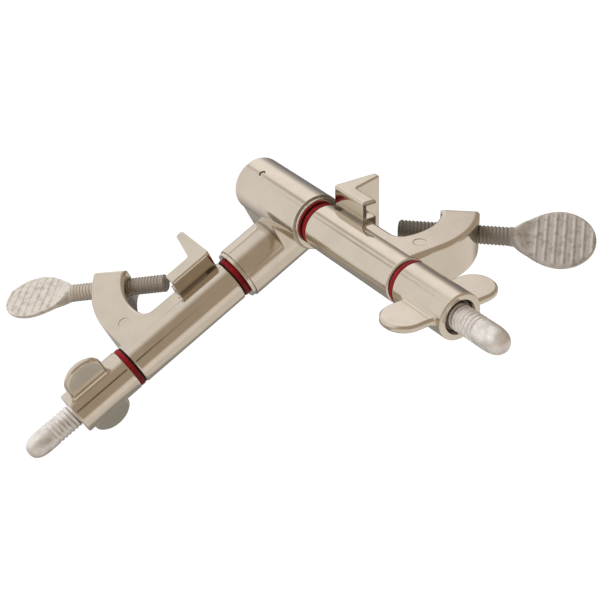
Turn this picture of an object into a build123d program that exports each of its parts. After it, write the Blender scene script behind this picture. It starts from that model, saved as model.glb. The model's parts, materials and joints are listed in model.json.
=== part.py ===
# Boss head clamp with two swivelling jaws. A cast hub holds two studs that cross at a right
# angle, and each stud carries a jaw that a wing nut locks. Millimetres, +Z up.
# The origin is the centre of the rod seat of jaw A: Z runs along the rod that jaw A grips,
# X along stud A towards its wing nut, and Y from stud A towards the rod.

from build123d import *
import math
import os

os.makedirs("parts", exist_ok=True)

# Rods and threads, and the clearances between pieces
rod_dia = 12.7
stud_dia = 8.9
screw_dia = 6.6
stud_play = 0.08
screw_play = 0.05
fixed_play = 0.02
face_play = 0.03

# Layout of the two studs and the two rods
stud_offset = 15.05
stud_gap = 17.0
reach = 43.3
hub_tilt = 25.7
jaw_swing = 8.7
nut_turn_a = 65.5
nut_turn_b = -14.5
screw_turn_a = 62.0
screw_turn_b = 77.0

# Hub casting
housing_dia = 20.3
housing_back = 11.8
housing_edge = 1.1
lip_step = 0.6
lip_length = 1.5
post_inset = 0.15
post_edge = 0.6
socket_depth = 6.0

# Cross pins that hold the studs in the hub
pin_dia = 2.4
pin_length = 15.0
pin_sunk = 0.35
pin_back = 1.3
pin_edge = 0.3

# Studs
stud_tip = 82.9
stud_nose = 8.0
stud_edge = 0.6

# Washers and rings
washer_dia = 15.8
washer_thk = 1.6
washer_edge = 0.2
washer_play = 0.25
ring_dia = 15.7
ring_thk = 0.8

# Wing nuts
nut_dia = 16.2
nut_length = 24.5
nut_edge = 0.6
mouth_dia = 12.0
mouth_depth = 1.8
mouth_taper = 25.0
wing_span = 43.0
wing_length = 15.4
wing_centre = 14.0
wing_thk = 2.6
wing_bevel = 0.7
wing_root = 1.5

# Jaw casting: sleeve on the stud
sleeve_dia = 16.2
sleeve_lip = 1.0
sleeve_edge = 0.8

# Jaw casting: C-shaped arm about the rod axis
plate_thk = 15.4
plate_edge = 1.5
plate_edge_start = 0.5
arm_radius = 33.8
throat_radius = 20.9
throat_corner = 4.0
throat_angle = 45.0
tip_angle = 50.3
tip_corner = 0.8
beak_radius = 20.5
beak_angle = 52.3
spine_drop = 1.25
plate_inset = 4.0
mark_dia = 4.6
mark_depth = 0.12
mark_at = (27.3, -4.1)

# Jaw casting: L-shaped rod seat with a pocket near each end
seat_height = 30.6
seat_wall = 5.15
seat_end = 6.0
seat_edge = 0.8
seat_corner = 1.4
apex_round = 1.5
prong_lean = 13.5
prong_tip = 5.6
prong_tip_wall = 4.35
prong_root_wall = 5.05
prong_round = 0.9
pocket_floor = 9.0
pocket_roof = 13.9
pocket_wall = 1.3
pocket_end = -3.0

# Thumbscrew with a ridged spade head, measured from the rod axis
screw_end = 0.7
head_start = 45.5
head_end = 73.0
head_width = 22.4
head_belly = 61.0
shoulder_at = 51.5
shoulder_width = 15.6
head_thk = 2.0
neck_width = 4.6
neck_thk = 4.2
neck_length = 6.5
shank_nose = 2.2
shank_nose_dia = 3.2
rim_thk = 1.6
ridge_first = 53.2
ridge_pitch = 3.1
ridge_count = 7
ridge_height = 0.35
ridge_width = 1.5

rod_r = rod_dia / 2
stud_r = stud_dia / 2
screw_r = screw_dia / 2
housing_r = housing_dia / 2
pin_r = pin_dia / 2
prong_outer = -rod_r - prong_tip_wall
prong_root = -rod_r - prong_root_wall
seat_front = -rod_r - seat_wall
spine_top = -rod_r - spine_drop
sleeve_start = prong_root - sleeve_lip
sleeve_end = arm_radius + sleeve_lip
stack_thk = washer_thk + ring_thk
hub_front = reach + sleeve_start - stack_thk - face_play
nut_start = sleeve_end + stack_thk + 2 * face_play

# Directions: stud B and the line between the studs follow the hub's tilt, jaw B its swing
tilt = math.radians(hub_tilt)
swing = math.radians(jaw_swing)
out_a = Vector(1, 0, 0)
out_b = Vector(0, -math.cos(tilt), -math.sin(tilt))
down = Vector(0, math.sin(tilt), -math.cos(tilt))
rod_b = down * math.cos(swing) - out_a * math.sin(swing)
side_b = out_a * -math.cos(swing) - down * math.sin(swing)

# Frames: seat frames have X along the stud and Z along the rod. Stud frames have Z along the
# stud and X along the line between the studs, where the cross pins lie.
crossing = Vector(-reach, -stud_offset, 0)
foot_b = crossing + down * stud_gap + out_b * reach
hub_frame = Plane(origin=crossing, x_dir=out_a, z_dir=-down)
seat_a = Plane.XY
seat_b = Plane(origin=foot_b + side_b * stud_offset, x_dir=out_b, z_dir=rod_b)
stud_a = Plane(origin=(0, -stud_offset, 0), x_dir=down, z_dir=out_a)
stud_b = Plane(origin=foot_b, x_dir=down, z_dir=out_b)


def place(shape, name, frame):
    """Set a finished shape in its frame, name it and write it."""
    with BuildPart(frame) as piece:
        add(shape.part)
    piece.part.label = name
    export_step(piece.part, f"parts/{name}.step")
    print(name, round(piece.part.volume, 1))


def screw_frame(seat, turn):
    """Frame of a thumbscrew: Z outwards at 45 degrees through the rod axis, X square to the spade."""
    outwards = seat.x_dir + seat.y_dir
    across = (seat.x_dir - seat.y_dir).normalized()
    square = across * math.cos(math.radians(turn)) + seat.z_dir * math.sin(math.radians(turn))
    return Plane(origin=seat.origin, x_dir=square, z_dir=outwards)


def turned(frame, height, turn):
    """A frame moved along its own Z and turned about it."""
    return Plane(frame.offset(height).location * Location((0, 0, 0), (0, 0, turn)))


def polar(radius, angle):
    """Point at a radius and an angle in degrees."""
    return (radius * math.cos(math.radians(angle)), radius * math.sin(math.radians(angle)))


# Square post between the two housings of the hub, drawn in the hub frame
with BuildPart() as post:
    with BuildSketch(Plane.XY.offset(-stud_gap)):
        Rectangle(housing_dia - 2 * post_inset, housing_dia - 2 * post_inset)
    extrude(amount=stud_gap)
    fillet(post.edges().filter_by(Axis.Z), post_edge)

# Hub casting: housing A runs along X at the origin of the hub frame, housing B along -Y below it
line_a = Plane.YZ
line_b = Plane(origin=(0, 0, -stud_gap), x_dir=(1, 0, 0), z_dir=(0, -1, 0))
with BuildPart() as hub:
    for line in (line_a, line_b):
        with BuildSketch(line.offset(-housing_back)):
            Circle(housing_r)
        extrude(amount=housing_back + hub_front - lip_length)
        with BuildSketch(line.offset(hub_front - lip_length)):
            Circle(housing_r - lip_step)
        extrude(amount=lip_length)
    rims = hub.edges().filter_by(GeomType.CIRCLE)
    closed_ends = [rims.sort_by(Axis.X)[0], rims.sort_by(Axis.Y)[-1]]
    fillet(closed_ends, housing_edge)
    add(post.part)
    for line in (line_a, line_b):
        with BuildSketch(line.offset(-socket_depth)):
            Circle(stud_r + fixed_play)
        extrude(amount=socket_depth + hub_front, mode=Mode.SUBTRACT)
    with BuildSketch(Plane.XY.offset(housing_r - pin_sunk - pin_length)):
        with Locations((-pin_back, 0)):
            Circle(pin_r + fixed_play)
    extrude(amount=pin_length + pin_sunk, mode=Mode.SUBTRACT)
    with BuildSketch(Plane.XY.offset(-stud_gap - housing_r)):
        with Locations((0, pin_back)):
            Circle(pin_r + fixed_play)
    extrude(amount=pin_length + pin_sunk, mode=Mode.SUBTRACT)

# Cross pin, drawn along its own Z from one end
with BuildPart() as pin:
    Cylinder(pin_r, pin_length, align=(Align.CENTER, Align.CENTER, Align.MIN))
    chamfer(pin.edges().filter_by(GeomType.CIRCLE), pin_edge)

# Stud: plain shank with a rounded nose and a cross hole for its pin
stud_foot = -reach - socket_depth
with BuildPart() as stud:
    with BuildSketch(Plane.XZ):
        with BuildLine():
            Polyline(
                (0, stud_foot),
                (stud_r - stud_edge, stud_foot),
                (stud_r, stud_foot + stud_edge),
                (stud_r, stud_tip - stud_nose),
            )
            Spline(
                (stud_r, stud_tip - stud_nose),
                (0, stud_tip),
                tangents=((0, 1), (-1, 0)),
            )
            Line((0, stud_tip), (0, stud_foot))
        make_face()
    revolve(axis=Axis.Z)
    with BuildSketch(Plane.YZ.offset(-stud_r)):
        with Locations((0, -reach - pin_back)):
            Circle(pin_r + fixed_play)
    extrude(amount=stud_dia, mode=Mode.SUBTRACT)

# Washer, drawn from its inner face
with BuildPart() as washer:
    with BuildSketch():
        Circle(washer_dia / 2)
        Circle(stud_r + washer_play, mode=Mode.SUBTRACT)
    extrude(amount=washer_thk)
    chamfer(washer.faces().sort_by(Axis.Z)[-1].outer_wire().edges(), washer_edge)

# Thin ring beside each washer
with BuildPart() as ring:
    with BuildSketch():
        Circle(ring_dia / 2)
        Circle(stud_r + washer_play, mode=Mode.SUBTRACT)
    extrude(amount=ring_thk)

# Two flat wings of a wing nut as one plate with round lobes
with BuildPart() as wings:
    with BuildSketch(Plane.XZ.offset(-wing_thk / 2)):
        with Locations((0, wing_centre)):
            SlotOverall(wing_span, wing_length)
    extrude(amount=wing_thk)
    broad_faces = wings.faces().sort_by(Axis.Y)
    chamfer(broad_faces[0].edges() + broad_faces[-1].edges(), wing_bevel)

# Wing nut, drawn from its inner face
with BuildPart() as wing_nut:
    Cylinder(nut_dia / 2, nut_length, align=(Align.CENTER, Align.CENTER, Align.MIN))
    fillet(wing_nut.edges().filter_by(GeomType.CIRCLE), nut_edge)
    add(wings.part)
    fillet(wing_nut.edges(Select.NEW), wing_root)
    with BuildSketch():
        Circle(stud_r + screw_play)
    extrude(amount=nut_length, mode=Mode.SUBTRACT)
    with BuildSketch(Plane.XY.offset(nut_length)):
        Circle(mouth_dia / 2)
    extrude(amount=-mouth_depth, taper=mouth_taper, mode=Mode.SUBTRACT)

# Side outline of the spade head: half its thickness from the neck to the tip, with the ridges
side = [
    (0, head_start),
    (neck_thk / 2, head_start),
    (head_thk / 2, head_start + neck_length),
]
for k in range(ridge_count):
    crest = ridge_first + k * ridge_pitch
    side.append((head_thk / 2, crest - ridge_width / 2))
    side.append((head_thk / 2 + ridge_height, crest))
    side.append((head_thk / 2, crest + ridge_width / 2))
side.append((rim_thk / 2, head_end))
side.append((0, head_end))

# Thumbscrew: round shank that flattens into an egg-shaped spade with grip ridges
with BuildPart() as thumbscrew:
    with BuildSketch(Plane.YZ.offset(-screw_r)):
        with BuildLine():
            Spline(
                (neck_width / 2, head_start),
                (shoulder_width / 2, shoulder_at),
                (head_width / 2, head_belly),
                tangents=((0, 1), (0, 1)),
            )
            EllipticalCenterArc(
                (0, head_belly),
                head_width / 2,
                head_end - head_belly,
                start_angle=0,
                arc_size=90,
            )
            Line((0, head_end), (0, head_start))
            Line((0, head_start), (neck_width / 2, head_start))
        make_face()
        mirror(about=Plane.YZ)
    extrude(amount=screw_dia)
    with BuildSketch(Plane.XZ.offset(-head_width / 2)):
        with BuildLine():
            Polyline(*side, close=True)
        make_face()
        mirror(about=Plane.YZ)
    extrude(amount=head_width, mode=Mode.INTERSECT)
    with BuildSketch(Plane.XY.offset(rod_r)):
        Circle(screw_r)
    extrude(amount=head_start - rod_r)
    with BuildSketch(Plane.XY.offset(head_start)):
        Circle(screw_r)
    with BuildSketch(Plane.XY.offset(head_start + shank_nose)):
        Circle(shank_nose_dia / 2)
    loft()
    chamfer(thumbscrew.faces().sort_by(Axis.Z)[0].edges(), screw_end)


def prong_inner(height):
    """X of the prong's inner face, which touches the rod, at a height along Y."""
    lean = math.radians(prong_lean)
    return -(rod_r + height * math.sin(lean)) / math.cos(lean)


# Sleeve of the jaw, drawn with the rod axis on Z and the stud along X
with BuildPart() as sleeve:
    with BuildSketch(stud_a.offset(sleeve_start)):
        Circle(sleeve_dia / 2)
    extrude(amount=sleeve_end - sleeve_start)
    fillet(sleeve.edges().filter_by(GeomType.CIRCLE), sleeve_edge)

# Rod seat of the jaw: a foot, a leaning prong and a pocket near each end
with BuildPart() as block:
    with BuildSketch() as seat_plan:
        with BuildLine():
            Polyline(
                (seat_end, seat_front),
                (seat_end, -rod_r),
                (prong_inner(-rod_r), -rod_r),
                (prong_inner(prong_tip), prong_tip),
                (prong_outer, prong_tip),
                (prong_root, seat_front),
                close=True,
            )
        make_face()
        fillet(seat_plan.vertices().sort_by(Axis.Y)[-2:], prong_round)
        apex = seat_plan.vertices().sort_by_distance((prong_inner(-rod_r), -rod_r))[0]
        fillet(apex, apex_round)
        root = seat_plan.vertices().sort_by_distance((prong_root, seat_front))[0]
        fillet(root, seat_corner)
    extrude(amount=seat_height / 2, both=True)
    ends = block.faces().sort_by(Axis.Z)
    fillet(ends[0].edges() + ends[-1].edges(), seat_edge)
    for level in (pocket_floor, -pocket_roof):
        with BuildSketch(Plane.XY.offset(level)):
            with Locations((pocket_end, seat_front + pocket_wall)):
                Rectangle(seat_height, seat_height, align=Align.MIN)
        extrude(amount=pocket_roof - pocket_floor, mode=Mode.SUBTRACT)

# Jaw casting: the C arm is a band about the rod axis that starts at the sleeve
throat_start = -math.degrees(math.asin(-spine_top / throat_radius))
with BuildPart() as jaw:
    with BuildSketch() as plate:
        with BuildLine():
            throat = CenterArc((0, 0), throat_radius, throat_start, throat_angle - throat_start)
            Polyline(throat @ 1, polar(beak_radius, beak_angle), polar(arm_radius, tip_angle))
            flank = CenterArc((0, 0), arm_radius, 0, tip_angle)
            Polyline(
                flank @ 0,
                (arm_radius, -stud_offset),
                (prong_root + plate_inset, -stud_offset),
                (prong_root + plate_inset, seat_front),
                (prong_inner(0), spine_top),
                throat @ 0,
            )
        make_face()
        corner = plate.vertices().sort_by_distance(throat @ 0)[0]
        fillet(corner, throat_corner)
        corner = plate.vertices().sort_by_distance(flank @ 1)[0]
        fillet(corner, tip_corner)
    extrude(amount=plate_thk / 2, both=True)
    rims = jaw.edges().filter_by(Plane.XY)
    rims = rims.filter_by_position(Axis.Y, -stud_offset + plate_edge_start, arm_radius)
    fillet(rims, plate_edge)
    for level, depth in ((plate_thk / 2, -mark_depth), (-plate_thk / 2, mark_depth)):
        with BuildSketch(Plane.XY.offset(level)):
            with Locations(mark_at):
                Circle(mark_dia / 2)
        extrude(amount=depth, mode=Mode.SUBTRACT)
    add(sleeve.part)
    add(block.part)
    with BuildSketch(stud_a.offset(sleeve_start)):
        Circle(stud_r + stud_play)
    extrude(amount=sleeve_end - sleeve_start, mode=Mode.SUBTRACT)
    with BuildSketch(screw_frame(seat_a, 0)):
        Circle(screw_r + screw_play)
    extrude(amount=head_start, mode=Mode.SUBTRACT)

place(hub, "hub_casting", hub_frame)
place(jaw, "jaw_a", seat_a)
place(jaw, "jaw_b", seat_b)

pin_foot_a = Location((-pin_back, 0, housing_r - pin_sunk - pin_length))
pin_foot_b = Location((0, pin_back, -stud_gap - housing_r + pin_sunk))
place(pin, "stud_pin_a", Plane(hub_frame.location * pin_foot_a))
place(pin, "stud_pin_b", Plane(hub_frame.location * pin_foot_b))

# Each inner stack lies on the hub: its ring is next to the hub on stud A and next to the jaw on stud B
inner = sleeve_start - face_play - stack_thk
place(ring, "inner_ring_a", stud_a.offset(inner))
place(washer, "inner_washer_a", stud_a.offset(inner + ring_thk))
place(washer, "inner_washer_b", stud_b.offset(inner))
place(ring, "inner_ring_b", stud_b.offset(inner + washer_thk))
for side, seat, line, nut_turn, screw_turn in (
    ("a", seat_a, stud_a, nut_turn_a, screw_turn_a),
    ("b", seat_b, stud_b, nut_turn_b, screw_turn_b),
):
    place(stud, f"stud_{side}", line)
    place(ring, f"outer_ring_{side}", line.offset(sleeve_end + face_play))
    place(washer, f"outer_washer_{side}", line.offset(sleeve_end + face_play + ring_thk))
    place(wing_nut, f"wing_nut_{side}", turned(line, nut_start, nut_turn))
    place(thumbscrew, f"thumbscrew_{side}", screw_frame(seat, screw_turn))
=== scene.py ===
import json
import math

import bmesh
import bpy
import numpy as np
from mathutils import Matrix, Vector


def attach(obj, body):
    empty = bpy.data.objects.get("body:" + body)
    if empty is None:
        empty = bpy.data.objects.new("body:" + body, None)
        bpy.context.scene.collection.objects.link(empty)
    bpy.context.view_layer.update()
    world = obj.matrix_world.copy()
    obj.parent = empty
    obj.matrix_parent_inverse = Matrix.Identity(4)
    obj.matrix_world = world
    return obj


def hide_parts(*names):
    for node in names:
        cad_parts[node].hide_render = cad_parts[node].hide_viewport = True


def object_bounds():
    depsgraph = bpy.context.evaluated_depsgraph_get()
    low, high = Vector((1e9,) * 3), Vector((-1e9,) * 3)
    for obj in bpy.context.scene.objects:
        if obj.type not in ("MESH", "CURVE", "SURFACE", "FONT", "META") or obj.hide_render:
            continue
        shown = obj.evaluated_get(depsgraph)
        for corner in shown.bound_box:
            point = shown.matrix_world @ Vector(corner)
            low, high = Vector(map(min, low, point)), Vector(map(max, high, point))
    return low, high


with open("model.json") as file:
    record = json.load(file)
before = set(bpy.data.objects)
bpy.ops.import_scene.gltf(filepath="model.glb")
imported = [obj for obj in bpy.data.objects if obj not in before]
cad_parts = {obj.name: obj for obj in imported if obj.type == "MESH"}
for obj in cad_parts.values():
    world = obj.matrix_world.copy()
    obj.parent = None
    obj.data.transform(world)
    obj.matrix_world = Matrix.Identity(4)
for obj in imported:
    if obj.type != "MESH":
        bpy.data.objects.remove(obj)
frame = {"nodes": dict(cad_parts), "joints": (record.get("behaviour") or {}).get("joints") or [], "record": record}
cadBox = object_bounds()
nodes = frame["nodes"]
mm = 0.001
print("frame loaded:", len(nodes), "nodes")


# Lines of the model: each stud, each seat and each thumbscrew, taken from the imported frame

def named(rows, name):
    return next(row for row in rows if row["name"] == name)


sides = {}
for side in "ab":
    swivel = named(frame["joints"], f"swivel_{side}")
    travel = named(frame["joints"], f"screw_{side}_travel")
    seat = named(frame["record"]["mounts"], f"rod_seat_{side}")
    studAxis = Vector(swivel["axis"]).normalized()
    seatAxis = Vector(seat["axis"]).normalized()
    sides[side] = {
        "studFoot": Vector(swivel["pos_m"]),
        "studAxis": studAxis,
        "seat": Vector(seat["pos_m"]),
        "seatAxis": seatAxis,
        "towardsSeat": seatAxis.cross(studAxis),
        "screwAxis": Vector(travel["axis"]).normalized(),
    }

# The cross pins stand square to both studs
pinAxis = sides["a"]["studAxis"].cross(sides["b"]["studAxis"]).normalized()


def axesOf(origin, zAxis, xAxis):
    # Rows are the X, Y and Z directions of a local frame, with its origin kept in metres
    z = np.array(zAxis.normalized())
    x = np.array(xAxis.normalized())
    x = x - z * (x @ z)
    x = x / np.linalg.norm(x)
    return np.array(origin), np.array([x, np.cross(z, x), z])


def toWorld(points, local):
    # Local millimetres to metres in the shared frame
    origin, rows = local
    return origin + (points * mm) @ rows


# Meshes from grids

def gridPiece(name, points, local, closeStart, closeEnd):
    # points has one row per ring and one column per step round it. Rings are joined by quads,
    # and each end is closed by a fan to the middle of its ring.
    rings, around = points.shape[:2]
    flat = points.reshape(-1, 3)
    row = np.arange(rings - 1)[:, None] * around
    col = np.arange(around)[None, :]
    nextCol = (col + 1) % around
    quads = np.stack([row + col, row + nextCol, row + around + nextCol, row + around + col], -1)
    faces = [tuple(quad) for quad in quads.reshape(-1, 4).tolist()]
    poles = []
    if closeStart:
        pole = len(flat)
        poles.append(points[0].mean(0))
        faces += [(pole, (k + 1) % around, k) for k in range(around)]
    if closeEnd:
        pole = len(flat) + len(poles)
        last = (rings - 1) * around
        poles.append(points[-1].mean(0))
        faces += [(pole, last + k, last + (k + 1) % around) for k in range(around)]
    every = np.vstack([flat] + poles)
    mesh = bpy.data.meshes.new(name)
    mesh.from_pydata(toWorld(every, local).tolist(), [], faces)
    mesh.update()
    mesh.shade_smooth()
    piece = bpy.data.objects.new(name, mesh)
    bpy.context.scene.collection.objects.link(piece)
    return piece


def mergeDoubles(piece):
    # Welds vertices that lie on each other, within a ten-thousandth of a millimetre
    work = bmesh.new()
    work.from_mesh(piece.data)
    bmesh.ops.remove_doubles(work, verts=work.verts, dist=1e-7)
    work.to_mesh(piece.data)
    work.free()


def ringPiece(name, profile, local, around):
    # A profile of (radius, height) points, closed on itself, turned about the local Z axis
    angle = np.linspace(0, 2 * math.pi, around, endpoint=False)
    radius = profile[:, 0][:, None]
    height = profile[:, 1][:, None]
    points = np.stack([radius * np.cos(angle), radius * np.sin(angle), height + 0 * angle], -1)
    closed = np.concatenate([points, points[:1]])
    piece = gridPiece(name, closed, local, False, False)
    mergeDoubles(piece)
    return piece


def shareOf(value, low, high):
    # 0 at low, 1 at high, and straight between them
    return np.clip((value - low) / (high - low), 0, 1)


def smoothStep(value, low, high):
    # The same with soft ends: the share squared, times three less twice the share
    t = shareOf(value, low, high)
    return t * t * (3 - 2 * t)


def cutRound(piece, centre, axis, radius, length, around):
    # Cuts a round hole through a piece, for a cross pin
    bpy.ops.mesh.primitive_cylinder_add(vertices=around, radius=radius, depth=length)
    cutter = bpy.context.object
    turn = axis.to_track_quat("Z", "Y").to_matrix().to_4x4()
    cutter.data.transform(Matrix.Translation(centre) @ turn)
    cut = piece.modifiers.new("pinHole", "BOOLEAN")
    cut.object = cutter
    cut.operation = "DIFFERENCE"
    cut.solver = "EXACT"
    depsgraph = bpy.context.evaluated_depsgraph_get()
    result = bpy.data.meshes.new_from_object(piece.evaluated_get(depsgraph))
    piece.modifiers.clear()
    piece.data = result
    bpy.data.objects.remove(cutter)


# Studs: a round bar with a soft rolled thread and a smooth rounded nose

stud = {
    "radius": 4.45,
    "foot": -49.3,
    "footEdge": 0.6,
    "plainRings": (-20.0, 10.0),
    "tip": 82.9,
    "noseStart": 74.9,
    "noseRings": 32,
    "nosePowers": (2.9, 0.4),
    "threadStart": 28.0,
    "threadRise": 3.0,
    "threadEnd": 73.4,
    "threadFade": 1.6,
    "pitch": 1.6,
    "threadDepth": 0.36,
    "groovePower": 1.3,
    "pinRadius": 1.22,
    "pinPlace": -44.6,
    "pinCut": 12.0,
    "pinAround": 48,
    "around": 96,
    "stepsPerTurn": 10,
}


def studRadius(height):
    # Full radius, less a small edge at the foot. The nose narrows by (1 - u^p)^q, where u runs
    # from 0 at its start to 1 at the tip, and p and q are its two powers.
    edge = stud["footEdge"] - np.clip(height - stud["foot"], 0, stud["footEdge"])
    u = shareOf(height, stud["noseStart"], stud["tip"])
    p, q = stud["nosePowers"]
    return (stud["radius"] - edge) * (1 - u**p) ** q


def makeStud(side):
    # A turned bar whose radius at each height is the plain one less the thread's groove
    s = sides[side]
    local = axesOf(s["studFoot"], s["studAxis"], s["seatAxis"])
    plain = [stud["foot"], stud["foot"] + stud["footEdge"], *stud["plainRings"]]
    threaded = np.arange(
        stud["threadStart"], stud["noseStart"], stud["pitch"] / stud["stepsPerTurn"])
    # The nose's rings crowd towards the tip
    share = np.sin(np.linspace(0, 1, stud["noseRings"] + 2)[1:-1] * math.pi / 2)
    nose = stud["noseStart"] + (stud["tip"] - stud["noseStart"]) * share
    heights = np.concatenate([plain, threaded, nose])
    angle = np.linspace(0, 2 * math.pi, stud["around"], endpoint=False)
    z = heights[:, None] + 0 * angle
    # The groove follows a cosine of the height less the turned share of one pitch, so it winds
    # as a helix
    phase = 2 * math.pi * z / stud["pitch"] - angle
    window = smoothStep(z, stud["threadStart"], stud["threadStart"] + stud["threadRise"])
    fade = smoothStep(z, stud["threadEnd"] - stud["threadFade"], stud["threadEnd"])
    groove = (0.5 - 0.5 * np.cos(phase)) ** stud["groovePower"]
    r = studRadius(z) - stud["threadDepth"] * window * (1 - fade) * groove
    points = np.stack([r * np.cos(angle), r * np.sin(angle), z], -1)
    piece = gridPiece(f"threadedStud{side.upper()}", points, local, True, True)
    middle = s["studFoot"] + s["studAxis"] * stud["pinPlace"] * mm
    cutRound(piece, middle, pinAxis, stud["pinRadius"] * mm, stud["pinCut"] * mm,
             stud["pinAround"])
    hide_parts(f"stud_{side}")
    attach(piece, "hub")
    return piece


# Thumbscrews: a threaded shank that flattens into an egg-shaped spade with cross ridges. Heights
# run along the screw from the seat's axis.

screw = {
    "radius": 3.3,
    "start": 6.35,
    "endEdge": 0.7,
    "pitch": 1.27,
    "threadDepth": 0.34,
    "threadRise": (0.5, 2.0),
    "threadFade": 1.2,
    "threadEnd": 44.9,
    "headStart": 45.5,
    "headEnd": 73.0,
    "neckShare": 0.97,
    "shoulder": 51.5,
    "shoulderHalfWidth": 7.8,
    "belly": 61.0,
    "halfWidth": 11.2,
    "leastHalfWidth": 0.01,
    "halfThickness": 1.0,
    "thinLead": 0.5,
    "flatFrom": 52.0,
    "flatExponent": 7.0,
    "rimHalfThickness": 0.8,
    "rimLength": 0.8,
    "rimPower": 0.6,
    "tipLength": 1.2,
    "tipReach": 0.998,
    "ridgeFirst": 53.2,
    "ridgePitch": 3.1,
    "ridgeCount": 7,
    "ridgeHeight": 0.35,
    "ridgeWidth": 1.5,
    "ridgePower": 0.8,
    "ridgeEnds": (0.82, 0.98),
    "around": 160,
    "stepsPerTurn": 9,
    "bladeRings": 190,
    "tipRings": 20,
    "turn": {"a": 62.0, "b": 77.0},
}


def bladeHalfWidth(z):
    # From the neck to the belly the width follows a power of a squared sine, with the power that
    # takes it through the shoulder. Past the belly it follows a quarter ellipse to the tip.
    start, belly, widest = screw["headStart"], screw["belly"], screw["halfWidth"]
    neck = screw["radius"] * screw["neckShare"]
    t = shareOf(z, start, belly)
    atShoulder = math.sin((screw["shoulder"] - start) / (belly - start) * math.pi / 2) ** 2
    rise = (screw["shoulderHalfWidth"] - neck) / (widest - neck)
    power = math.log(rise) / math.log(atShoulder)
    widening = neck + (widest - neck) * (np.sin(t * math.pi / 2) ** 2) ** power
    v = shareOf(z, belly, screw["headEnd"])
    closing = widest * np.sqrt(np.maximum(1 - v**2, 0))
    return np.where(z < belly, widening, closing)


def shankRadius(z, angle):
    # Radius less a helical cosine groove, with a small edge at the shank's end
    phase = 2 * math.pi * z / screw["pitch"] - angle
    first, full = screw["threadRise"]
    window = smoothStep(z, screw["start"] + first, screw["start"] + full)
    fade = smoothStep(z, screw["threadEnd"] - screw["threadFade"], screw["threadEnd"])
    edge = screw["endEdge"] - np.clip(z - screw["start"], 0, screw["endEdge"])
    groove = screw["threadDepth"] * window * (1 - fade) * (0.5 - 0.5 * np.cos(phase))
    return screw["radius"] - edge - groove


def bladePoints(z, angle):
    # A superellipse whose exponent grows from a circle's to that of a flat with round edges
    flat = smoothStep(z, screw["headStart"], screw["flatFrom"])
    exponent = 2 + (screw["flatExponent"] - 2) * flat
    halfWidth = bladeHalfWidth(z)
    lead = screw["thinLead"]
    thin = smoothStep(z, screw["headStart"] - lead, screw["flatFrom"] - lead)
    thick = screw["radius"] + (screw["halfThickness"] - screw["radius"]) * thin
    towardsTip = shareOf(z, screw["belly"], screw["headEnd"])
    thick = thick + (screw["rimHalfThickness"] - screw["halfThickness"]) * towardsTip
    # The last stretch rounds the rim off in thickness too
    left = np.clip((screw["headEnd"] - z) / screw["rimLength"], 0, 1)
    thick = thick * np.sqrt(left) ** screw["rimPower"]
    cosA, sinA = np.cos(angle), np.sin(angle)
    size = (np.abs(cosA) ** exponent + np.abs(sinA) ** exponent) ** (-1 / exponent)
    x = thick * size * cosA
    y = halfWidth * size * sinA
    # Ridges: triangles softened by a power, standing on both faces and dying out at the rim
    number = (z - screw["ridgeFirst"]) / screw["ridgePitch"]
    nearest = np.clip(np.round(number), 0, screw["ridgeCount"] - 1)
    offset = np.abs(number - nearest) * screw["ridgePitch"] / (screw["ridgeWidth"] / 2)
    ridge = screw["ridgeHeight"] * np.clip(1 - offset, 0, 1) ** screw["ridgePower"]
    acrossShare = np.abs(y) / np.maximum(halfWidth, screw["leastHalfWidth"])
    inside = 1 - smoothStep(acrossShare, *screw["ridgeEnds"])
    return x + np.sign(cosA) * ridge * inside * flat, y


def makeThumbscrew(side):
    s = sides[side]
    # Shank and blade lie on one grid of heights and angles: below the head a turned bar of the
    # shank's radius, and from there the blade's points. The spade's flat is turned about the screw
    # from square to the seat's axis.
    across = (s["studAxis"] - s["towardsSeat"]).normalized()
    turn = math.radians(screw["turn"][side])
    square = across * math.cos(turn) + s["seatAxis"] * math.sin(turn)
    local = axesOf(s["seat"], s["screwAxis"], square)
    shank = np.arange(screw["start"], screw["headStart"], screw["pitch"] / screw["stepsPerTurn"])
    tipStart = screw["headEnd"] - screw["tipLength"]
    blade = np.linspace(screw["headStart"], tipStart, screw["bladeRings"])
    share = np.sin(np.linspace(0, 1, screw["tipRings"])[1:] * math.pi / 2)
    tip = tipStart + screw["tipLength"] * share * screw["tipReach"]
    heights = np.concatenate([shank, blade, tip])
    angle = np.linspace(0, 2 * math.pi, screw["around"], endpoint=False)
    z = heights[:, None] + 0 * angle
    bar = shankRadius(z, angle)
    bladeX, bladeY = bladePoints(z, angle)
    onBlade = z >= screw["headStart"]
    x = np.where(onBlade, bladeX, bar * np.cos(angle))
    y = np.where(onBlade, bladeY, bar * np.sin(angle))
    piece = gridPiece(f"spadeScrew{side.upper()}", np.stack([x, y, z], -1), local, True, True)
    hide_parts(f"thumbscrew_{side}")
    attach(piece, f"thumbscrew_{side}")
    return piece


# Washers and rings: turned in the room that their nodes have. Each washer's pressed edge stands a
# little over the thin ring beside it.

washer = {
    "outer": 7.9,
    "inner": 4.7,
    "edge": 0.42,
    "over": 0.28,
    "ringGap": 0.01,
    "cornerPoints": 8,
    "around": 128,
}
ring = {
    "outer": 7.6,
    "inner": 4.7,
    "edge": 0.12,
    "over": 0.0,
    "cornerPoints": 8,
    "around": 128,
}


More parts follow.
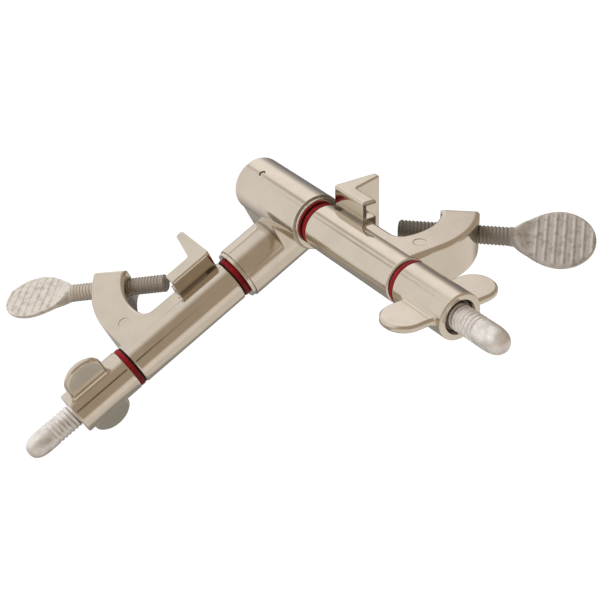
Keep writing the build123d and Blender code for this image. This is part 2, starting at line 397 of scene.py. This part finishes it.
def ringProfile(sizes, thickness):
    # Rectangle with both outer corners rounded by quarter circles, run from the inner edge
    # outwards. Its outermost part starts below the rest by the overhang, just outside the ring.
    quarter = np.linspace(0, math.pi / 2, sizes["cornerPoints"])
    sinQ, cosQ = np.sin(quarter), np.cos(quarter)
    edge, under = sizes["edge"], -sizes["over"]
    corner = sizes["outer"] - edge
    low = np.stack([corner + edge * sinQ, under + edge - edge * cosQ], -1)
    high = np.stack([corner + edge * cosQ, thickness - edge + edge * sinQ], -1)
    start = [[sizes["inner"], 0.0]]
    if sizes["over"]:
        gap = sizes["ringGap"]
        start += [[ring["outer"] + gap, 0.0], [ring["outer"] + gap, under]]
        low[:, 0] = np.maximum(low[:, 0], ring["outer"] + 2 * gap)
    return np.vstack([start, low, high, [[sizes["inner"], thickness]]])


def makeRing(node, side, sizes, body):
    s = sides[side]
    mesh = nodes[node].data
    flat = np.empty(len(mesh.vertices) * 3)
    mesh.vertices.foreach_get("co", flat)
    fromFoot = flat.reshape(-1, 3) - np.array(s["studFoot"])
    heights = fromFoot @ np.array(s["studAxis"]) / mm
    profile = ringProfile(sizes, np.ptp(heights))
    start, axis = heights.min(), s["studAxis"]
    if node == "inner_washer_b":
        # Here the ring lies on the washer's other side
        start, axis = heights.max(), -axis
    local = axesOf(s["studFoot"] + s["studAxis"] * start * mm, axis, s["seatAxis"])
    piece = ringPiece("turned." + node, profile, local, sizes["around"])
    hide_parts(node)
    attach(piece, body)
    return piece


# Shader maths

class Wire:
    # One socket of a node tree. Operators add Math nodes, and make() adds any other node.
    def __init__(self, tree, socket):
        self.tree = tree
        self.socket = socket

    def make(self, kind, settings=None, inputs=None, output=0):
        node = self.tree.nodes.new(kind)
        for key, value in (settings or {}).items():
            setattr(node, key, value)
        for key, value in (inputs or {}).items():
            if isinstance(value, Wire):
                self.tree.links.new(value.socket, node.inputs[key])
            else:
                node.inputs[key].default_value = value
        return Wire(self.tree, node.outputs[output])

    def math(self, operation, *values):
        return self.make("ShaderNodeMath", {"operation": operation}, dict(enumerate(values)))

    def vector(self, operation, *values, output=0):
        inputs = dict(enumerate((self, *values)))
        return self.make("ShaderNodeVectorMath", {"operation": operation}, inputs, output)

    def __add__(self, other):
        return self.math("ADD", self, other)

    __radd__ = __add__

    def __mul__(self, other):
        return self.math("MULTIPLY", self, other)

    __rmul__ = __mul__

    def __sub__(self, other):
        return self.math("SUBTRACT", self, other)

    def __rsub__(self, other):
        return self.math("SUBTRACT", other, self)

    def dot(self, direction):
        return self.vector("DOT_PRODUCT", direction, output="Value")

    def between(self, low, high):
        # A smooth rise from 0 at low to 1 at high
        return self.make("ShaderNodeMapRange", {"interpolation_type": "SMOOTHSTEP"},
                         {"Value": self, "From Min": low, "From Max": high})

    def along(self, origin, axis):
        # Millimetres along an axis from an origin, for a wire of object coordinates
        return self.vector("SUBTRACT", origin).dot(Vector(axis) / mm)

    def away(self, origin, axis):
        # Millimetres from a line
        moved = self.vector("SUBTRACT", origin)
        return moved.vector("CROSS_PRODUCT", Vector(axis) / mm).vector("LENGTH", output="Value")

    def closed(self, distance, inside):
        # How much of the near surroundings the piece itself fills, from outside or from inside
        settings = {"samples": 16, "only_local": True, "inside": inside}
        return 1 - self.make("ShaderNodeAmbientOcclusion", settings,
                             {"Distance": distance * mm}, output="AO")

    def noise(self, size, detail, rough=0.5):
        # Noise whose blobs are about size millimetres. A look gives the arguments as one tuple.
        inputs = {"Vector": self, "Scale": 1 / (size * mm), "Detail": detail, "Roughness": rough}
        return self.make("ShaderNodeTexNoise", None, inputs)

    def mixColour(self, first, second):
        return self.make("ShaderNodeMix", {"data_type": "RGBA"}, {0: self, 6: first, 7: second},
                         output=2)


def newFinish(name):
    # A material with its shader and its object coordinates
    finish = bpy.data.materials.new(name)
    finish.use_nodes = True
    tree = finish.node_tree
    where = Wire(tree, tree.nodes.new("ShaderNodeTexCoord").outputs["Object"])
    return finish, tree.nodes["Principled BSDF"], where


def connect(shader, name, wire):
    wire.tree.links.new(wire.socket, shader.inputs[name])


def bump(where, height, rounding=0.0):
    # Relief from a height in millimetres. With a rounding, sharp edges are shaded as if rounded.
    inputs = {"Height": height, "Strength": 1.0, "Distance": mm}
    if rounding:
        inputs["Normal"] = where.make("ShaderNodeBevel", {"samples": 6}, {"Radius": rounding * mm})
    return where.make("ShaderNodeBump", None, inputs)


nickelLook = {
    "colour": (0.71, 0.655, 0.565, 1),
    "dull": (0.62, 0.57, 0.485, 1),
    # Painted light and shade: the next colour is a painted highlight for edges, the one after it a painted shade
    # line along edges, and the third a painted brown shade for creases and bores
    "lightTone": (0.80, 0.75, 0.66, 1),
    "outline": (0.22, 0.18, 0.14, 1),
    "creaseShade": (0.11, 0.08, 0.055, 1),
    "polish": 0.07,
    "blotch": {"noise": (7.0, 3.0), "range": (0.35, 0.75), "share": 0.5, "rough": 0.06},
    "speck": {"noise": (0.9, 2.0), "range": (0.62, 0.75), "share": 0.35, "rough": 0.05,
              "roughRange": (0.55, 0.8)},
    "wave": {"noise": (9.0, 1.0), "height": 0.030},
    "grain": {"noise": (0.35, 2.0), "height": 0.004},
    "edge": {"reach": 1.0, "lightToneRange": (0.10, 0.28), "outlineRange": (0.34, 0.46), "share": 0.8},
    "crease": {"reach": 2.8, "range": (0.22, 0.62), "share": 0.85, "rough": 0.2},
    "bore": {"range": (5.3, 6.0), "share": 0.9, "rough": 0.3},
    "rounding": 0.6,
}


def nickelFinish(name, bore=None):
    # Polished nickel plate. Creases get a painted brown shade, and edges a painted highlight with a
    # thin painted shade line along them. A nut also gets painted brown shade inside the mouth of its bore.
    look = nickelLook
    finish, shader, where = newFinish(name)
    blotch = where.noise(*look["blotch"]["noise"])
    speck = where.noise(*look["speck"]["noise"])
    tone = blotch.between(*look["blotch"]["range"]) * look["blotch"]["share"]
    tone = tone + speck.between(*look["speck"]["range"]) * look["speck"]["share"]
    colour = tone.mixColour(look["colour"], look["dull"])
    edge = where.closed(look["edge"]["reach"], True)
    # Painted highlight: convex edges, where the piece fills more of its surroundings from inside, are shown
    # lighter
    lightTone = edge.between(*look["edge"]["lightToneRange"]) * look["edge"]["share"]
    colour = lightTone.mixColour(colour, look["lightTone"])
    # Painted shade: a thin dark line right on the convex edges
    outline = edge.between(*look["edge"]["outlineRange"]) * look["edge"]["share"]
    colour = outline.mixColour(colour, look["outline"])
    # Painted shade: brown in the creases, where the piece itself closes round the point
    crease = where.closed(look["crease"]["reach"], False).between(*look["crease"]["range"])
    colour = (crease * look["crease"]["share"]).mixColour(colour, look["creaseShade"])
    rough = look["polish"] + blotch * look["blotch"]["rough"]
    rough = rough + speck.between(*look["speck"]["roughRange"]) * look["speck"]["rough"]
    rough = rough + crease * look["crease"]["rough"]
    height = where.noise(*look["wave"]["noise"]) * look["wave"]["height"]
    height = height + where.noise(*look["grain"]["noise"]) * look["grain"]["height"]
    if bore:
        # Painted shade: brown inside the mouth of the nut's bore
        fromAxis = where.away(sides[bore]["studFoot"], sides[bore]["studAxis"])
        inside = 1 - fromAxis.between(*look["bore"]["range"])
        colour = (inside * look["bore"]["share"]).mixColour(colour, look["creaseShade"])
        rough = rough + inside * look["bore"]["rough"]
    connect(shader, "Base Color", colour)
    connect(shader, "Roughness", rough)
    shader.inputs["Metallic"].default_value = 1.0
    connect(shader, "Normal", bump(where, height, look["rounding"]))
    return finish


steelLook = {
    "colour": (0.80, 0.79, 0.775, 1),
    "dark": (0.58, 0.565, 0.55, 1),
    "metal": 0.65,
    "roughness": 0.30,
    "blotch": {"noise": (3.0, 3.0), "range": (0.35, 0.8), "rough": 0.12},
    "dents": {"noise": (1.4, 3.0), "height": 0.03},
    "grain": {"noise": (0.25, 2.0), "height": 0.006},
}


def steelFinish(name):
    # Satin steel with faint patches
    look = steelLook
    finish, shader, where = newFinish(name)
    blotch = where.noise(*look["blotch"]["noise"])
    colour = blotch.between(*look["blotch"]["range"]).mixColour(look["colour"], look["dark"])
    connect(shader, "Base Color", colour)
    connect(shader, "Roughness", look["roughness"] + blotch * look["blotch"]["rough"])
    shader.inputs["Metallic"].default_value = look["metal"]
    height = where.noise(*look["dents"]["noise"]) * look["dents"]["height"]
    height = height + where.noise(*look["grain"]["noise"]) * look["grain"]["height"]
    connect(shader, "Normal", bump(where, height))
    return finish


# Heights are in millimetres from the seat's axis: where painted light makes the thread lighter outside
# the arm, and where the spade's colour starts
screwLook = {
    "thread": (0.20, 0.185, 0.165),
    # Painted light: side B's thread is lit lighter than side A's by these factors
    "threadLightBySide": {"a": 1.0, "b": 1.9},
    # Painted light: the thread's part outside the arm is lighter by this factor
    "outerLight": 1.45,
    "outerFrom": (24.0, 36.0),
    # Painted light: side B's spade and its patches are lighter than side A's
    "spade": {"a": (0.55, 0.53, 0.50, 1), "b": (0.70, 0.675, 0.63, 1)},
    "patch": {"a": (0.34, 0.32, 0.295, 1), "b": (0.48, 0.455, 0.42, 1)},
    "patchNoise": (2.2, 4.0, 0.6),
    "patchRange": (0.42, 0.75),
    "spadeFrom": (44.0, 46.5),
    "metal": 0.6,
    "roughness": 0.42,
    "patchRough": 0.15,
    "dents": {"noise": (0.8, 3.0), "height": 0.05},
    "waves": {"noise": (3.0, 2.0), "height": 0.08},
}


def shaded(colour, factor):
    return tuple(part * factor for part in colour) + (1,)


def screwFinish(name, side):
    # Dark thread, painted lighter outside the arm, and a lighter spade with rubbed patches; side B is painted
    # lighter.
    look = screwLook
    finish, shader, where = newFinish(name)
    height = where.along(sides[side]["seat"], sides[side]["screwAxis"])
    patch = where.noise(*look["patchNoise"])
    spade = patch.between(*look["patchRange"]).mixColour(look["spade"][side], look["patch"][side])
    # Painted light: each side's thread gets its own lightness
    shade = look["threadLightBySide"][side]
    inner = shaded(look["thread"], shade)
    outer = shaded(look["thread"], shade * look["outerLight"])
    # Painted light: the thread is lighter outside the arm
    thread = height.between(*look["outerFrom"]).mixColour(inner, outer)
    onSpade = height.between(*look["spadeFrom"])
    connect(shader, "Base Color", onSpade.mixColour(thread, spade))
    connect(shader, "Roughness", look["roughness"] + patch * look["patchRough"])
    shader.inputs["Metallic"].default_value = look["metal"]
    relief = where.noise(*look["dents"]["noise"]) * look["dents"]["height"]
    waves = where.noise(*look["waves"]["noise"]) * look["waves"]["height"]
    connect(shader, "Normal", bump(where, relief + waves * onSpade))
    return finish


dullLook = {
    "washer": {"colour": (0.17, 0.005, 0.009, 1), "lightTone": (0.25, 0.014, 0.016, 1),
               "roughness": 0.42, "spread": 0.15, "blotch": (1.8, 3.0), "grain": (0.5, 2.0)},
    "ring": {"colour": (0.006, 0.007, 0.006, 1), "lightTone": (0.014, 0.017, 0.014, 1),
             "roughness": 0.62, "spread": 0.2, "blotch": (1.2, 3.0), "grain": (0.3, 2.0)},
    "lightToneRange": (0.4, 0.8),
    "grainHeight": 0.02,
    "specular": 0.15,
}


def dullFinish(name, kind):
    # The washers' red and the rings' black: dull, with faint worn patches and a fine grain
    look = dullLook[kind]
    finish, shader, where = newFinish(name)
    blotch = where.noise(*look["blotch"])
    lightTone = blotch.between(*dullLook["lightToneRange"])
    connect(shader, "Base Color", lightTone.mixColour(look["colour"], look["lightTone"]))
    connect(shader, "Roughness", look["roughness"] + blotch * look["spread"])
    shader.inputs["Specular IOR Level"].default_value = dullLook["specular"]
    height = where.noise(*look["grain"]) * dullLook["grainHeight"]
    connect(shader, "Normal", bump(where, height))
    return finish


def dress(piece, finish):
    piece.data.materials.clear()
    piece.data.materials.append(finish)


def dressNode(name, finish):
    for slot in nodes[name].material_slots:
        slot.link = "OBJECT"
        slot.material = finish


steel = steelFinish("satinSteel")
red = dullFinish("redWasher", "washer")
black = dullFinish("blackRing", "ring")
nickel = nickelFinish("nickelPolished")
for side in "ab":
    dress(makeStud(side), steel)
    dress(makeThumbscrew(side), screwFinish(f"screwSteel{side.upper()}", side))
    for kind, sizes, slot, finish in (
        ("washer", washer, "red_washer", red),
        ("ring", ring, "black_ring", black),
    ):
        dress(makeRing(f"inner_{kind}_{side}", side, sizes, "hub"), finish)
        dress(makeRing(f"outer_{kind}_{side}", side, sizes, f"washers_{side}"), finish)
print("studs, thumbscrews, washers and rings done")

dressNode("hub_casting", nickel)
for side in "ab":
    dressNode(f"jaw_{side}", nickel)
    dressNode(f"stud_pin_{side}", nickel)
    dressNode(f"wing_nut_{side}", nickelFinish(f"nickelNut{side.upper()}", bore=side))
print("hub, jaws, pins and wing nuts done")


# Camera, floor and light

view = {
    "place": (0.34011, -0.25220, 0.22498),
    "right": (0.55400, 0.83206, -0.02753),
    "up": (-0.41464, 0.30445, 0.85755),
    "back": (0.72191, -0.46367, 0.51367),
    "lens": 83.32,
    "sensor": 36.0,
}


def makeCamera():
    data = bpy.data.cameras.new("camera")
    data.lens = view["lens"]
    data.sensor_width = view["sensor"]
    camera = bpy.data.objects.new("camera", data)
    bpy.context.scene.collection.objects.link(camera)
    turn = Matrix((view["right"], view["up"], view["back"])).transposed().to_4x4()
    camera.matrix_world = Matrix.Translation(view["place"]) @ turn
    bpy.context.scene.camera = camera


# Light: a tent. Over its wall colour lie soft round patches, each with a direction (azimuth and
# elevation), an outer and an inner angle and a colour. The world and the floor glow by it.
tent = {
    "wall": (0.43, 0.35, 0.275, 1),
    "patches": [
        {"towards": (150, -65), "edge": (60, 30), "colour": (0.33, 0.315, 0.29, 1)},
        {"towards": (138, -6), "edge": (34, 12), "colour": (0.24, 0.222, 0.24, 1)},
        {"towards": (-38, -38), "edge": (48, 28), "colour": (0.76, 0.70, 0.64, 1)},
        {"towards": (18, -24), "edge": (27, 13), "colour": (0.85, 0.78, 0.73, 1)},
        {"towards": (64, -32), "edge": (38, 20), "colour": (0.80, 0.74, 0.69, 1)},
        {"towards": (56, -50), "edge": (36, 16), "colour": (0.74, 0.68, 0.62, 1)},
        {"towards": (-155, 28), "edge": (72, 42), "colour": (0.88, 0.84, 0.81, 1)},
        {"towards": (160, 36), "edge": (24, 6), "colour": (1.10, 1.03, 1.0, 1)},
        {"towards": (-17, 37), "edge": (5, 2), "colour": (0.06, 0.045, 0.035, 1)},
        {"towards": (-171, 42), "edge": (6, 2), "colour": (0.60, 0.54, 0.49, 1)},
        {"towards": (-153, 37), "edge": (3.5, 1), "colour": (0.42, 0.37, 0.32, 1)},
        {"towards": (146, -27), "edge": (22, 8), "colour": (0.13, 0.115, 0.11, 1)},
    ],
}


def towards(angles):
    # Unit direction for an azimuth and an elevation in degrees
    azimuth, elevation = (math.radians(angle) for angle in angles)
    flat = math.cos(elevation)
    return Vector((math.cos(azimuth) * flat, math.sin(azimuth) * flat, math.sin(elevation)))


def tentColour(direction):
    # Each patch is whole inside its inner angle and gone outside its outer one
    colour = tent["wall"]
    for patch in tent["patches"]:
        outer, inner = (math.cos(math.radians(angle)) for angle in patch["edge"])
        share = direction.dot(towards(patch["towards"])).between(outer, inner)
        colour = share.mixColour(colour, patch["colour"])
    return colour


middle = (cadBox[0] + cadBox[1]) / 2
white = (1, 1, 1, 1)
floorLook = {
    "drop": 0.09,
    "radius": 3.0,
    "around": 96,
    "colour": (0.9, 0.9, 0.89, 1),
    "roughness": 0.8,
    "shadowShare": 0.08,
    "seenStrength": 1.08,
}


def makeFloor():
    # Camera rays see a white floor with a little paint in it, and other rays see the tent
    look = floorLook
    bpy.ops.mesh.primitive_circle_add(
        vertices=look["around"], radius=look["radius"], fill_type="NGON")
    floor = bpy.context.object
    floor.name = "floor"
    level = cadBox[0].z - look["drop"]
    floor.data.transform(Matrix.Translation((middle.x, middle.y, level)))
    finish, shader, where = newFinish("paleFloor")
    tree = finish.node_tree
    shader.inputs["Base Color"].default_value = look["colour"]
    shader.inputs["Roughness"].default_value = look["roughness"]
    paint = Wire(tree, shader.outputs[0])
    seen = Wire(tree, tree.nodes.new("ShaderNodeLightPath").outputs["Is Camera Ray"])
    direction = where.vector("SUBTRACT", middle).vector("NORMALIZE")
    pale = seen.make("ShaderNodeEmission", None,
                     {"Color": white, "Strength": look["seenStrength"]})
    glow = seen.make("ShaderNodeEmission", None, {"Color": tentColour(direction)})
    shown = seen.make("ShaderNodeMixShader", None,
                      {0: 1 - look["shadowShare"], 1: paint, 2: pale})
    mixed = seen.make("ShaderNodeMixShader", None, {0: seen, 1: glow, 2: shown})
    tree.links.new(mixed.socket, tree.nodes["Material Output"].inputs["Surface"])
    dress(floor, finish)


def makeWorld():
    world = bpy.data.worlds.new("tent")
    bpy.context.scene.world = world
    world.use_nodes = True
    tree = world.node_tree
    tree.nodes.clear()
    out = tree.nodes.new("ShaderNodeOutputWorld")
    direction = Wire(tree, tree.nodes.new("ShaderNodeTexCoord").outputs["Generated"])
    seen = Wire(tree, tree.nodes.new("ShaderNodeLightPath").outputs["Is Camera Ray"])
    shown = seen.mixColour(tentColour(direction), white)
    sky = seen.make("ShaderNodeBackground", None, {"Color": shown, "Strength": 1.0})
    tree.links.new(sky.socket, out.inputs["Surface"])


softKey = {
    "place": (-0.22, -0.78, 0.68),
    "size": 0.5,
    "power": 9.5,
    "colour": (1.0, 0.98, 0.95),
}


def makeLamp(name, lamp):
    # A soft lamp that lifts the dull pieces and isn't mirrored in the bright ones
    data = bpy.data.lights.new(name, "AREA")
    data.shape = "SQUARE"
    data.size = lamp["size"]
    data.energy = lamp["power"]
    data.color = lamp["colour"]
    holder = bpy.data.objects.new(name, data)
    bpy.context.scene.collection.objects.link(holder)
    turn = (middle - Vector(lamp["place"])).to_track_quat("-Z", "Y").to_matrix().to_4x4()
    holder.matrix_world = Matrix.Translation(lamp["place"]) @ turn
    holder.visible_glossy = False


makeCamera()
makeFloor()
makeWorld()
makeLamp("softKey", softKey)
bpy.context.scene.view_settings.view_transform = "Standard"
print("camera, floor and light done")
